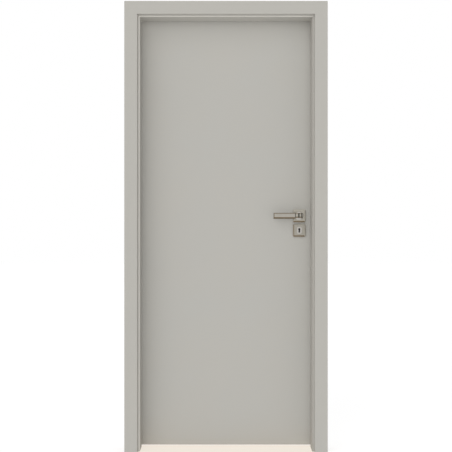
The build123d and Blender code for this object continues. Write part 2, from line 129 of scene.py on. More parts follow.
def add_node(
    tree: NodeTree,
    kind: str,
    settings: dict[str, Any] | None = None,
    inputs: dict[str | int, Any] | None = None,
) -> Node:
    """Add a shader node, set it up and link what leads into it.

    Args:
        tree: The tree that gets the node.
        kind: The node's type name.
        settings: Properties of the node itself.
        inputs: For each input, the output socket to link or the value to set.

    Returns:
        The new node.
    """
    node = tree.nodes.new(kind)
    for name, value in (settings or {}).items():
        setattr(node, name, value)
    for name, value in (inputs or {}).items():
        if isinstance(value, NodeSocket):
            tree.links.new(value, node.inputs[name])
        else:
            node.inputs[name].default_value = value
    return node


@dataclass(frozen=True)
class Finish:
    """A node material. Each kind of finish lays the nodes of its own surface."""

    name: str

    def build(self) -> Material:
        """Make the material.

        Returns:
            The finished material.
        """
        material = bpy.data.materials.new(self.name)
        material.use_nodes = True
        tree = material.node_tree
        tree.nodes.clear()
        add_node(tree, "ShaderNodeOutputMaterial", inputs={"Surface": self.surface(tree)})
        return material

    def surface(self, tree: NodeTree) -> NodeSocket:
        """Lay the surface's nodes in a tree and give the socket that they end in."""
        raise NotImplementedError

    def relief(
        self, tree: NodeTree, height: NodeSocket, strength: float, depth: float, inputs: dict[str | int, Any]
    ) -> NodeSocket:
        """Lay a surface with a fine relief.

        Args:
            tree: The material's tree.
            height: The pattern that the relief follows.
            strength: Share of the relief that counts.
            depth: The relief's depth.
            inputs: The surface's colour, roughness and the like.

        Returns:
            The surface's socket.
        """
        bump = add_node(
            tree, "ShaderNodeBump", inputs={"Height": height, "Strength": strength, "Distance": depth}
        )
        shader = add_node(
            tree, "ShaderNodeBsdfPrincipled", inputs={**inputs, "Normal": bump.outputs["Normal"]}
        )
        return shader.outputs["BSDF"]


@dataclass(frozen=True)
class FacePick:
    """A face of a piece, found by the way it looks and how far out it lies.

    It can be held to a strip that reaches no further along another direction than a limit.
    """

    looks: Direction
    beyond: float
    strip: tuple[Direction, float] | None = None
    # The least that the face's normal has along that way.
    least_normal: float = 0.7

    def mask(self, tree: NodeTree, coords: Node) -> NodeSocket:
        """Nodes that give one on this face and nought elsewhere.

        Args:
            tree: The material's tree.
            coords: Its Texture Coordinate node.

        Returns:
            The mask's socket.
        """
        axis, sign = self.looks.axis, self.looks.sign
        place, normal = (
            add_node(tree, "ShaderNodeSeparateXYZ", inputs={0: coords.outputs[name]})
            for name in ("Object", "Normal")
        )
        tests = [
            (place.outputs[axis], self.beyond, sign),
            (normal.outputs[axis], self.least_normal * sign, sign),
        ]
        if self.strip:
            along, limit = self.strip
            tests.append((place.outputs[along.axis], limit, -along.sign))
        total: float | NodeSocket = 1.0
        for value, limit, way in tests:
            passed = add_node(
                tree, "ShaderNodeMath", {"operation": "GREATER_THAN" if way > 0 else "LESS_THAN"},
                {0: value, 1: limit},
            )
            total = add_node(
                tree, "ShaderNodeMath", {"operation": "MULTIPLY"}, {0: total, 1: passed.outputs[0]}
            ).outputs[0]
        return total


@dataclass(frozen=True)
class MattFoil(Finish):
    """Matt polypropylene foil pressed on MDF.

    To the eye it is an even warm grey with a soft, wide sheen, a very fine embossed grain and
    a faint cloudiness. A narrow edge can carry a colour of painted highlight or painted shade, and a raw
    face shows the pale brown board with its pressed fibres.
    """

    colour: str = "B8B5AE"
    cloud_colour: str = "B5B3AD"
    roughness: tuple[float, float] = (0.6, 0.68)
    cloud_size: float = 260 * MM
    # The real emboss is about 0.3 mm; it is drawn at 1.6 mm so that a close view shows it.
    grain_size: float = 1.6 * MM
    grain_depth: float = 0.03 * MM
    # Faces with painted highlight or painted shade, each with its painted colour.
    edges: tuple[tuple[FacePick, str], ...] = ()
    board_colour: str = "A98D68"
    board_dark: str = "8F7452"
    board_roughness: float = 0.85
    fibre_size: float = 3.0 * MM
    raw: tuple[FacePick, ...] = ()

    def surface(self, tree: NodeTree) -> NodeSocket:
        """Lay the foil, the painted highlight and shade of its edges and the bare board.

        Args:
            tree: The material's tree.

        Returns:
            The surface's socket.
        """
        coords = add_node(tree, "ShaderNodeTexCoord")
        cloud, grain, fibre = (
            add_node(
                tree, "ShaderNodeTexNoise",
                inputs={
                    "Vector": coords.outputs["Object"], "Scale": 1 / size, "Detail": detail,
                    "Roughness": fineness,
                },
            ).outputs["Fac"]
            for size, detail, fineness in (
                (self.cloud_size, 2.0, 0.5), (self.grain_size, 3.0, 0.6), (self.fibre_size, 6.0, 0.7)
            )
        )
        colour, board = (
            add_node(
                tree, "ShaderNodeMix", {"data_type": "RGBA"},
                {"Factor": pattern, "A": linear(first), "B": linear(second)},
            ).outputs["Result"]
            for pattern, first, second in (
                (cloud, self.colour, self.cloud_colour), (fibre, self.board_colour, self.board_dark)
            )
        )
        rough = add_node(
            tree, "ShaderNodeMapRange",
            inputs={"Value": grain, "To Min": self.roughness[0], "To Max": self.roughness[1]},
        ).outputs["Result"]
        # Painted highlight and painted shade on the picked edge faces.
        for face, tone in self.edges:
            colour = add_node(
                tree, "ShaderNodeMix", {"data_type": "RGBA"},
                {"Factor": face.mask(tree, coords), "A": colour, "B": linear(tone)},
            ).outputs["Result"]
        for face in self.raw:
            mask = face.mask(tree, coords)
            colour = add_node(
                tree, "ShaderNodeMix", {"data_type": "RGBA"}, {"Factor": mask, "A": colour, "B": board}
            ).outputs["Result"]
            rough = add_node(
                tree, "ShaderNodeMix", {"data_type": "FLOAT"},
                {"Factor": mask, "A": rough, "B": self.board_roughness},
            ).outputs["Result"]
        return self.relief(
            tree, grain, strength=0.6, depth=self.grain_depth,
            inputs={"Base Color": colour, "Roughness": rough, "IOR": 1.49, "Specular IOR Level": 0.3},
        )


@dataclass(frozen=True)
class EdgeTone:
    """Colour painted on the edges of a metal piece that look one way, standing in for the shade, reflection
    and highlight that fall there.

    It covers a share of the metal's own tone. It starts at a slight turn of the surface, is whole
    at a larger one and ends at the steepest.
    """

    looks: Direction
    colour: str
    share: float = 1.0
    starts: float = 0.06
    whole: float = 0.12
    steepest: float = 1.01


@dataclass(frozen=True)
class PlatedMetal(Finish):
    """Plated zinc or steel, brushed along one axis.

    To the eye it is a warm, soft-edged mirror with fine parallel scratches and slightly
    uneven gloss where hands and brushes have passed. Edges that look up, down or aside can carry
    a warm brown of painted shade and painted reflection, and shallow edges that look aside can carry
    a painted highlight.
    """

    colour: str
    worn_colour: str
    roughness: tuple[float, float]
    along: Direction
    # Brush lines are about 0.05 mm apart; they are drawn at 0.6 mm so that a close view shows them.
    line_spacing: float = 0.6 * MM
    line_length: float = 40 * MM
    line_depth: float = 0.008 * MM
    wear_size: float = 18 * MM
    # Edges with painted shade, painted reflection or a painted highlight.
    edges: tuple[EdgeTone, ...] = ()

    def surface(self, tree: NodeTree) -> NodeSocket:
        """Lay the brushed metal and the painted shade, reflection and highlight on its edges.

        Args:
            tree: The material's tree.

        Returns:
            The surface's socket.
        """
        coords = add_node(tree, "ShaderNodeTexCoord")
        place = coords.outputs["Object"]
        scale = [1 / self.line_spacing] * 3
        scale[self.along.axis] = 1 / self.line_length
        stretch = add_node(tree, "ShaderNodeMapping", inputs={"Vector": place, "Scale": scale})
        lines = add_node(
            tree, "ShaderNodeTexNoise",
            inputs={"Vector": stretch.outputs["Vector"], "Scale": 1.0, "Detail": 3.0, "Roughness": 0.65},
        ).outputs["Fac"]
        wear = add_node(
            tree, "ShaderNodeTexNoise", inputs={"Vector": place, "Scale": 1 / self.wear_size, "Detail": 3.0}
        )
        colour = add_node(
            tree, "ShaderNodeMix", {"data_type": "RGBA"},
            {"Factor": wear.outputs["Fac"], "A": linear(self.colour), "B": linear(self.worn_colour)},
        ).outputs["Result"]
        normal = add_node(tree, "ShaderNodeSeparateXYZ", inputs={0: coords.outputs["Normal"]})
        # Painted shade, reflection and highlight on edges that look one way.
        for edge in self.edges:
            sign, turn = edge.looks.sign, normal.outputs[edge.looks.axis]
            turned = add_node(
                tree, "ShaderNodeMapRange",
                inputs={
                    "Value": turn, "From Min": edge.starts * sign, "From Max": edge.whole * sign,
                    "To Max": edge.share,
                },
            )
            shallow = add_node(
                tree, "ShaderNodeMath", {"operation": "LESS_THAN" if sign > 0 else "GREATER_THAN"},
                {0: turn, 1: edge.steepest * sign},
            )
            cover = add_node(
                tree, "ShaderNodeMath", {"operation": "MULTIPLY"},
                {0: turned.outputs["Result"], 1: shallow.outputs[0]},
            )
            colour = add_node(
                tree, "ShaderNodeMix", {"data_type": "RGBA"},
                {"Factor": cover.outputs[0], "A": colour, "B": linear(edge.colour)},
            ).outputs["Result"]
        rough = add_node(
            tree, "ShaderNodeMapRange",
            inputs={"Value": lines, "To Min": self.roughness[0], "To Max": self.roughness[1]},
        )
        return self.relief(
            tree, lines, strength=0.5, depth=self.line_depth,
            inputs={"Base Color": colour, "Metallic": 1.0, "Roughness": rough.outputs["Result"]},
        )


@dataclass(frozen=True)
class MouldedPolymer(Finish):
    """Extruded elastomer or moulded polyamide.

    To the eye it is dull and even, with a soft highlight and faint flow marks.
    """

    colour: str
    pale_colour: str
    roughness: tuple[float, float]
    ior: float = 1.5
    mark_size: float = 6 * MM
    mark_depth: float = 0.05 * MM

    def surface(self, tree: NodeTree) -> NodeSocket:
        """Lay the polymer and its flow marks.

        Args:
            tree: The material's tree.

        Returns:
            The surface's socket.
        """
        coords = add_node(tree, "ShaderNodeTexCoord")
        marks = add_node(
            tree, "ShaderNodeTexNoise",
            inputs={"Vector": coords.outputs["Object"], "Scale": 1 / self.mark_size, "Detail": 5.0},
        ).outputs["Fac"]
        colour = add_node(
            tree, "ShaderNodeMix", {"data_type": "RGBA"},
            {"Factor": marks, "A": linear(self.colour), "B": linear(self.pale_colour)},
        )
        rough = add_node(
            tree, "ShaderNodeMapRange",
            inputs={"Value": marks, "To Min": self.roughness[0], "To Max": self.roughness[1]},
        )
        return self.relief(
            tree, marks, strength=0.4, depth=self.mark_depth,
            inputs={
                "Base Color": colour.outputs["Result"], "Roughness": rough.outputs["Result"],
                "IOR": self.ior,
            },
        )


@dataclass(frozen=True)
class ParticleBoard(Finish):
    """Raw particle board inside the leaf and in its bottom rail.

    To the eye it is a mosaic of pale brown chips with darker glue lines between them.
    """

    chip_colour: str = "C2A275"
    glue_colour: str = "8A6A42"
    roughness: float = 0.85
    chip_size: float = 5 * MM
    fibre_size: float = 1.25 * MM
    chip_depth: float = 0.2 * MM

    def surface(self, tree: NodeTree) -> NodeSocket:
        """Lay the chips and their fibres.

        Args:
            tree: The material's tree.

        Returns:
            The surface's socket.
        """
        place = add_node(tree, "ShaderNodeTexCoord").outputs["Object"]
        chips = add_node(
            tree, "ShaderNodeTexVoronoi", inputs={"Vector": place, "Scale": 1 / self.chip_size}
        )
        fibre = add_node(
            tree, "ShaderNodeTexNoise", inputs={"Vector": place, "Scale": 1 / self.fibre_size, "Detail": 4.0}
        )
        tone = add_node(
            tree, "ShaderNodeMix", {"data_type": "FLOAT"},
            {"Factor": 0.5, "A": chips.outputs["Distance"], "B": fibre.outputs["Fac"]},
        ).outputs["Result"]
        colour = add_node(
            tree, "ShaderNodeMix", {"data_type": "RGBA"},
            {"Factor": tone, "A": linear(self.chip_colour), "B": linear(self.glue_colour)},
        )
        return self.relief(
            tree, tone, strength=0.5, depth=self.chip_depth,
            inputs={"Base Color": colour.outputs["Result"], "Roughness": self.roughness},
        )


@dataclass(frozen=True)
class StageFloor(Finish):
    """Plain pale floor that glows evenly, with a dull surface on which shadows still fall."""

    colour: str
    dullness: float
    glow: float

    def surface(self, tree: NodeTree) -> NodeSocket:
        """Lay the dull surface and its glow.

        Args:
            tree: The material's tree.

        Returns:
            The surface's socket.
        """
        colour = linear(self.colour)
        dull = add_node(
            tree, "ShaderNodeBsdfDiffuse", inputs={"Color": [self.dullness * part for part in colour]}
        )
        bright = add_node(tree, "ShaderNodeEmission", inputs={"Color": colour, "Strength": self.glow})
        both = add_node(
            tree, "ShaderNodeAddShader", inputs={0: dull.outputs["BSDF"], 1: bright.outputs["Emission"]}
        )
        return both.outputs["Shader"]


def dress(material: Material, *nodes: str) -> None:
    """Give CAD nodes a material.

    Args:
        material: The finish.
        nodes: Names of the nodes.
    """
    for name in nodes:
        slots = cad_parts[name].data.materials
        slots.clear()
        slots.append(material)
        LOG.info("dressed %s in %s", name, material.name)


def settle(mesh: BMesh) -> None:
    """Put corners, edges and faces in an order that is the same in each run.

    Args:
        mesh: The shape.
    """
    for face in [face for face in mesh.faces if len(face.verts) > 4]:
        ring = list(face.verts)
        first = ring.index(min(ring, key=lambda vert: tuple(vert.co)))
        mesh.faces.remove(face)
        mesh.faces.new([*ring[first:], *ring[:first]])
    for parts, rank in (
        (mesh.verts, lambda vert: tuple(vert.co)),
        (mesh.edges, lambda edge: sorted(vert.index for vert in edge.verts)),
        (mesh.faces, lambda face: sorted(vert.index for vert in face.verts)),
    ):
        for i, part in enumerate(sorted(parts, key=rank)):
            part.index = i
        parts.sort()


def finish_piece(
    mesh: BMesh,
    name: str,
    material: Material,
    body: Body,
    stands_for: tuple[str, ...] = (),
) -> None:
    """Turn a finished bmesh into a piece that rides on a body.

    Args:
        mesh: The shape, in its place in the row frame. It is freed.
        name: The piece's name.
        material: Its finish.
        body: The body that it moves with.
        stands_for: CAD nodes that the piece is shown in place of.
    """
    bmesh.ops.remove_doubles(mesh, verts=mesh.verts, dist=WELD)
    bmesh.ops.recalc_face_normals(mesh, faces=mesh.faces)
    settle(mesh)
    data = bpy.data.meshes.new(name)
    mesh.to_mesh(data)
    mesh.free()
    for polygon in data.polygons:
        polygon.use_smooth = True
    data.set_sharp_from_angle(angle=SHARP_TURN)
    data.materials.append(material)
    piece = bpy.data.objects.new(name, data)
    bpy.context.scene.collection.objects.link(piece)
    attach(piece, body.value)
    if stands_for:
        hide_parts(*stands_for)
    LOG.info("built %s: %d faces", name, len(data.polygons))


def round_edges(mesh: BMesh, radius: float, segments: int, chosen: Callable[[BMEdge], bool]) -> None:
    """Round or bevel the edges between two faces that a test picks.

    Args:
        mesh: The shape.
        radius: The rounding's size.
        segments: Steps across the rounding; one makes a flat bevel.
        chosen: Test that an edge has to pass.
    """
    edges = [edge for edge in mesh.edges if len(edge.link_faces) == 2 and chosen(edge)]
    bmesh.ops.bevel(
        mesh, geom=edges, offset=radius, affect="EDGES", segments=segments, profile=0.5, material=-1,
        clamp_overlap=True,
    )


def round_corner(mesh: BMesh, corners: list[BMVert], radius: float, segments: int) -> None:
    """Round corners of a flat outline.

    Args:
        mesh: The shape.
        corners: The outline's corners to round.
        radius: The rounding's size.
        segments: Steps across the rounding.
    """
    bmesh.ops.bevel(
        mesh, geom=corners, offset=radius, affect="VERTICES", segments=segments, profile=0.5, material=-1
    )


def shift(mesh: BMesh, grown: list[Any], step: Vector) -> None:
    """Move the corners among the parts that an extrusion has grown."""
    bmesh.ops.translate(mesh, verts=[part for part in grown if isinstance(part, BMVert)], vec=step)


def thicken(mesh: BMesh, faces: list[BMFace], step: Vector) -> None:
    """Draw flat faces out along a step, and keep the flat faces as the far wall."""
    shift(mesh, bmesh.ops.extrude_face_region(mesh, geom=faces, use_keep_orig=True)["geom"], step)


def add_box(mesh: BMesh, centre: Vector, size: tuple[float, float, float]) -> None:
    """Add a box to a shape, by its middle and its sizes along X, Y and Z."""
    bmesh.ops.create_cube(mesh, size=1.0, matrix=Matrix.Translation(centre) @ Matrix.Diagonal((*size, 1.0)))


def across(place: Vector) -> Matrix:
    """The matrix that lays an upright shape along Y at a place."""
    return Matrix.Translation(place) @ Matrix.Rotation(math.pi / 2, 4, "X")


def seated(mesh: BMesh, place: Vector, looks: Direction) -> BMesh:
    """Turn a shape that was made looking up, and put it on its seat.

    Args:
        mesh: The shape, with its foot at nought.
        place: Middle of the seat.
        looks: The way that the shape faces.

    Returns:
        The same shape, in its place.
    """
    turn = Vector((0, 0, 1)).rotation_difference(Vector(looks.value)).to_matrix()
    bmesh.ops.rotate(mesh, verts=mesh.verts, cent=Vector(), matrix=turn)
    bmesh.ops.translate(mesh, verts=mesh.verts, vec=place)
    return mesh


def spun(section: list[Vector], centre: Vector, axis: Direction, steps: int) -> BMesh:
    """Spin a closed section into a ring.

    Args:
        section: Its corners in order.
        centre: A point on the axis.
        axis: The way that the axis runs.
        steps: Steps round the ring.

    Returns:
        The shape, in its place.
    """
    mesh = bmesh.new()
    ring = [mesh.verts.new(corner) for corner in section]
    edges = [mesh.edges.new(pair) for pair in zip(ring, [*ring[1:], ring[0]])]
    bmesh.ops.spin(
        mesh, geom=[*ring, *edges], cent=centre, axis=Vector(axis.value), angle=2 * math.pi, steps=steps,
        use_merge=True,
    )
    return mesh


@dataclass(frozen=True)
class CrossScrew:
    """Low screw head that stands on its plate, with a cross recess."""

    # From the end of a plate to its screw.
    end_gap: float
    head_radius: float = 3.8 * MM
    recess_radius: float = 2.3 * MM
    arm_half: float = 0.55 * MM
    recess_depth: float = 0.4 * MM
    rim_height: float = 0.5 * MM

    def recess_faces(self, mesh: BMesh) -> list[BMFace]:
        """Faces of the head's top that lie inside the recess's circle.

        Args:
            mesh: The head, made looking up.

        Returns:
            The faces.
        """
        limit = self.recess_radius + TOUCH
        return [
            face for face in mesh.faces
            if face.normal.z > FACING and max(vert.co.xy.length for vert in face.verts) < limit
        ]

    def build(self, place: Vector, looks: Direction) -> BMesh:
        """Model the head.

        Args:
            place: Middle of the seat on the plate.
            looks: The way that the head faces.

        Returns:
            The shape, in its place.
        """
        mesh = bmesh.new()
        bmesh.ops.create_circle(mesh, cap_ends=True, radius=self.head_radius, segments=24)
        thicken(mesh, list(mesh.faces), Vector((0, 0, self.rim_height)))
        top = max(mesh.faces, key=lambda face: face.calc_center_median().z)
        bmesh.ops.inset_region(mesh, faces=[top], thickness=self.head_radius - self.recess_radius)
        for axis in (Vector((1, 0, 0)), Vector((0, 1, 0))):
            for offset in (-self.arm_half, self.arm_half):
                inner = self.recess_faces(mesh)
                edges = {edge for face in inner for edge in face.edges}
                verts = {vert for face in inner for vert in face.verts}
                bmesh.ops.bisect_plane(
                    mesh, geom=[*inner, *edges, *verts], plane_co=axis * offset, plane_no=axis
                )
        mesh.normal_update()
        arms = [
            face for face in self.recess_faces(mesh)
            if min(abs(part) for part in face.calc_center_median().xy) < self.arm_half
        ]
        sunk = bmesh.ops.extrude_face_region(mesh, geom=arms)["geom"]
        shift(mesh, sunk, Vector((0, 0, -self.recess_depth)))
        bmesh.ops.delete(mesh, geom=[face for face in arms if face.is_valid], context="FACES_ONLY")
        return seated(mesh, place, looks)

    def fasten(self, plate: str, label: str, looks: Direction, steel: Material, body: Body) -> None:
        """Put a screw near each end of an upright plate.

        Args:
            plate: The plate's CAD node.
            label: What the screws' names call the plate.
            looks: The way that the plate faces.
            steel: Finish of the screws.
            body: The body that they move with.
        """
        low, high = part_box(plate)
        place = (low + high) / 2
        place[looks.axis] = (high if looks.sign > 0 else low)[looks.axis]
        for name, z in (("lower", low.z + self.end_gap), ("upper", high.z - self.end_gap)):
            place.z = z
            finish_piece(self.build(place, looks), f"{name}_{label}_screw", steel, body)


@dataclass(frozen=True)
class SocketScrew:
    """Flat end of a grub screw with a hexagon socket."""

    radius: float
    socket_radius: float
    socket_depth: float
    rim_height: float

    def build(self, place: Vector, looks: Direction) -> BMesh:
        """Model the screw's end.

        Args:
            place: Middle of the end on the surface.
            looks: The way that the end faces.

        Returns:
            The shape, in its place.
        """
        mesh = bmesh.new()
        level = Matrix.Translation((0, 0, self.rim_height))
        bmesh.ops.create_circle(mesh, cap_ends=False, radius=self.radius, segments=24, matrix=level)
        rim = list(mesh.edges)
        bmesh.ops.create_circle(mesh, cap_ends=False, radius=self.socket_radius, segments=6, matrix=level)
        socket = [edge for edge in mesh.edges if edge not in rim]
        bmesh.ops.bridge_loops(mesh, edges=[*rim, *socket])
        for loop, depth in ((rim, self.rim_height), (socket, self.socket_depth)):
            drawn = bmesh.ops.extrude_edge_only(mesh, edges=loop)["geom"]
            shift(mesh, drawn, Vector((0, 0, -depth)))
            bmesh.ops.contextual_create(mesh, geom=[part for part in drawn if isinstance(part, BMEdge)])
        return seated(mesh, place, looks)


@dataclass
class DoorFrame:
    """Jambs, linings, casings, seals and strike plate that stay in the wall."""

    # Each side's name, the way from the doorway to the wall, and the colour painted on the
    # lining's front edge: a painted highlight on the hinge side and head, painted shade on the lock side.
    sides: tuple[tuple[str, Direction, str], ...] = (
        ("hinge", Direction.LEFT, "D8D5CE"),
        ("lock", Direction.RIGHT, "ACA9A2"),
        ("head", Direction.UP, "CAC7C0"),
    )
    # Width of the strip of painted highlight or painted shade on each lining's front edge.
    edge_strip: float = 5 * MM
    casing_tongue: float = 26 * MM
    screws: CrossScrew = CrossScrew(end_gap=13 * MM)

    def end_face(
        self, node: str, looks: Direction, strip: tuple[Direction, float] | None = None
    ) -> FacePick:
        """The face of a node that lies furthest out one way.

        Args:
            node: The CAD node.
            looks: The way that the face looks.
            strip: A direction and a limit along it that hold the face to a strip.

        Returns:
            The face.
        """
        low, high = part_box(node)
        reach = (high if looks.sign > 0 else low)[looks.axis]
        return FacePick(looks, reach - PICK_REACH * looks.sign, strip)

    def dress(self) -> None:
        """Foil on all that shows in the room, with painted highlight and painted shade on the linings' front
        edges, bare board against the wall, rubber in the stop.
        """
        rubber = MouldedPolymer("grey_elastomer", "A3A099", "ABA8A1", (0.62, 0.78)).build()
        for side, outward, tone in self.sides:
            jamb, lining, front, back = (
                f"{side}_{part}" for part in ("jamb", "lining", "front_casing", "back_casing")
            )
            low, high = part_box(lining)
            opening = (low if outward.sign > 0 else high)[outward.axis]
            # The strip of the lining's front edge next to the opening gets its side's painted highlight or
            # painted shade.
            strip = (outward, opening + self.edge_strip * outward.sign)
            edges = {lining: ((self.end_face(lining, Direction.FORWARD, strip), tone),)}
            wall_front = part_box(front)[1].y - self.casing_tongue
            bare = {
                jamb: self.end_face(jamb, outward),
                lining: self.end_face(lining, outward),
                front: FacePick(Direction.BACK, wall_front - PICK_REACH),
                back: self.end_face(back, Direction.FORWARD),
            }
            for node, face in bare.items():
                foil = MattFoil(f"matt_foil_{node}", edges=edges.get(node, ()), raw=(face,))
                dress(foil.build(), node)
            dress(rubber, f"{side}_seal")

    def build(self, steel: Material) -> None:
        """Strike plate and its screws.

        Args:
            steel: Finish of the lock's plates.
        """
        dress(steel, "strike_plate")
        self.screws.fasten("strike_plate", "strike", Direction.LEFT, steel, Body.FRAME)


@dataclass
class HingeSet:
    """Three barrel hinges with their washers and adjusting screws."""

    places: tuple[str, ...] = ("lower", "middle", "upper")
    washer_radius: float = 6.8 * MM
    washer_bore: float = 4.2 * MM
    washer_height: float = 0.36 * MM
    washer_gap: float = 0.02 * MM
    screw: SocketScrew = SocketScrew(
        radius=3.0 * MM, socket_radius=1.7 * MM, socket_depth=0.7 * MM, rim_height=0.8 * MM
    )

    def washer(self, middle: Vector) -> BMesh:
        """Sliding washer between the knuckles, spun from its section.

        Args:
            middle: Centre of the washer.

        Returns:
            The shape, in its place.
        """
        half = self.washer_height / 2
        section = [
            middle + Vector((radius, 0, z))
            for radius, z in (
                (self.washer_bore, -half), (self.washer_radius, -half),
                (self.washer_radius, half), (self.washer_bore, half),
            )
        ]
        return spun(section, middle, Direction.UP, steps=36)

    def build(self, nickel: Material) -> None:
        """Dress the halves and add what is loose between and on them.

        Args:
            nickel: Finish of the knuckles.
        """
        nylon = MouldedPolymer("white_polyamide", "D9D6CE", "E2DFD8", (0.4, 0.5)).build()
        for place in self.places:
            lower, upper = f"{place}_hinge_frame_half", f"{place}_hinge_leaf_half"
            dress(nickel, lower, upper)
            lower_low, lower_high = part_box(lower)
            low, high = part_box(upper)
            x, y = (lower_low.x + lower_high.x) / 2, (low.y + high.y) / 2
            middle = low.z - self.washer_height / 2 - self.washer_gap
            mesh = self.washer(Vector((x, y, middle)))
            finish_piece(mesh, f"{place}_hinge_washer", nylon, Body.FRAME)
            mesh = self.screw.build(Vector((x, y, high.z)), Direction.UP)
            finish_piece(mesh, f"{place}_hinge_screw", nickel, Body.LEAF)


@dataclass
class Leaf:
    """Skins, stiles, rails and core of the flush leaf."""

    face_cloud: str = "B6B5B0"
    edge_roughness: tuple[float, float] = (0.56, 0.64)

    def dress(self) -> None:
        """Foil on faces and edges, bare board under the foot, particle board inside."""
        bare = FacePick(Direction.DOWN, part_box("bottom_rail")[0].z + PICK_REACH)
        skin = MattFoil("matt_foil_leaf_face", cloud_colour=self.face_cloud, raw=(bare,)).build()
        dress(skin, "front_skin", "back_skin")
        edge = MattFoil("matt_foil_leaf_edge", roughness=self.edge_roughness, raw=(bare,)).build()
        dress(edge, "hinge_stile", "lock_stile", "top_rail")
        dress(ParticleBoard("particle_board").build(), "bottom_rail", "leaf_core", "lock_block")


@dataclass
class LockSet:
    """Mortise lock in the leaf's edge."""

    screws: CrossScrew = CrossScrew(end_gap=14 * MM)
    curtain_size: tuple[float, float, float] = (10.6 * MM, 3 * MM, 21.6 * MM)
    curtain_edge: float = 0.6 * MM

    def curtain(self) -> BMesh:
        """Curtain in the lock that closes the view through the keyhole until a key turns it.

        Returns:
            The shape, in its place.
        """
        case_low, case_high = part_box("lock_case")
        plate_low, plate_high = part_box("front_escutcheon")
        centre = (plate_low + plate_high) / 2
        centre.y = (case_low.y + case_high.y) / 2
        mesh = bmesh.new()
        add_box(mesh, centre, self.curtain_size)
        round_edges(mesh, self.curtain_edge, segments=2, chosen=lambda edge: True)
        return mesh

    def build(self, steel: Material, blued: Material) -> None:
        """Dress the lock, screw its faceplate on and hang its curtain.

        Args:
            steel: Finish of the lock's plates.
            blued: Dark finish of the works inside.
        """
        finish_piece(self.curtain(), "lock_curtain", blued, Body.LEAF)
        dress(steel, "lock_faceplate", "latch_bolt", "dead_bolt", "lock_case", "spindle")
        self.screws.fasten("lock_faceplate", "faceplate", Direction.RIGHT, steel, Body.LEAF)


